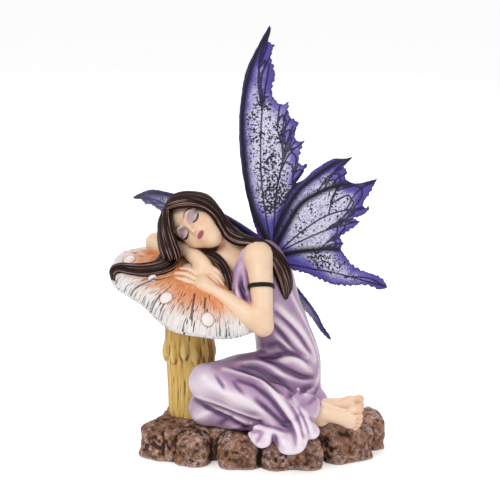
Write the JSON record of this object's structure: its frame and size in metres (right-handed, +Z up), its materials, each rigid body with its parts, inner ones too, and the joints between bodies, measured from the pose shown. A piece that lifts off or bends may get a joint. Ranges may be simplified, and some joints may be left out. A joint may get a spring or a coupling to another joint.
{
  "type": "fairy figurine",
  "caption": "Sleeping fairy who kneels on a rock base and leans on a broad mushroom cap, with two pairs of jagged wings glued into slots in her back.",
  "frame": {"origin": "middle of the flat underside of the rock base", "axes": "+Z up, the fairy faces -X and shows her left side to -Y"},
  "size_m": [0.1511, 0.1445, 0.2335],
  "materials": {
    "painted_resin": "hand-painted satin resin: lilac dress, peach skin, dark brown hair, orange and white cap, brown rock",
    "painted_wing_resin": "hand-painted satin resin: violet edges, pale lavender middle, dark speckles and veins"
  },
  "bodies": {
    "root": {"cast_figure": "painted_resin", "left_wings": "painted_wing_resin", "right_wings": "painted_wing_resin"}
  },
  "joints": []
}
